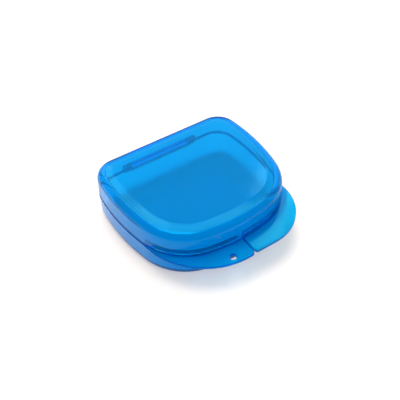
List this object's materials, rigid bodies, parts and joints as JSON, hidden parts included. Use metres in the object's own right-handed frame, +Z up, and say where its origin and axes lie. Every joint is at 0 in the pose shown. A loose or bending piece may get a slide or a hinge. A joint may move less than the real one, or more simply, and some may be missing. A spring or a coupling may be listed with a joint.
{
  "type": "whitening tray case",
  "caption": "Flat D-shaped two-piece case for a dental tray: hinged along the straight back edge, snapped shut at the curved front, with a split thumb flange and a strap hole.",
  "frame": {"origin": "middle of the footprint of the closed case, on the surface it stands on", "axes": "+X to the right along the hinge, +Y from the thumb flange to the hinge, +Z up from the base to the lid"},
  "size_m": [0.08, 0.081, 0.0262],
  "materials": {
    "base_plastic": "glossy translucent blue polypropylene",
    "lid_plastic": "glossy translucent blue polypropylene"
  },
  "bodies": {
    "base": {"base_shell": "base_plastic"},
    "lid": {"lid_shell": "lid_plastic"}
  },
  "joints": [
    {"name": "lid_hinge", "type": "hinge", "parent": "base", "child": "lid", "pos_m": [0, 0.0383, 0.0134], "axis": [-1, 0, 0], "range_deg": [0, 180]}
  ]
}
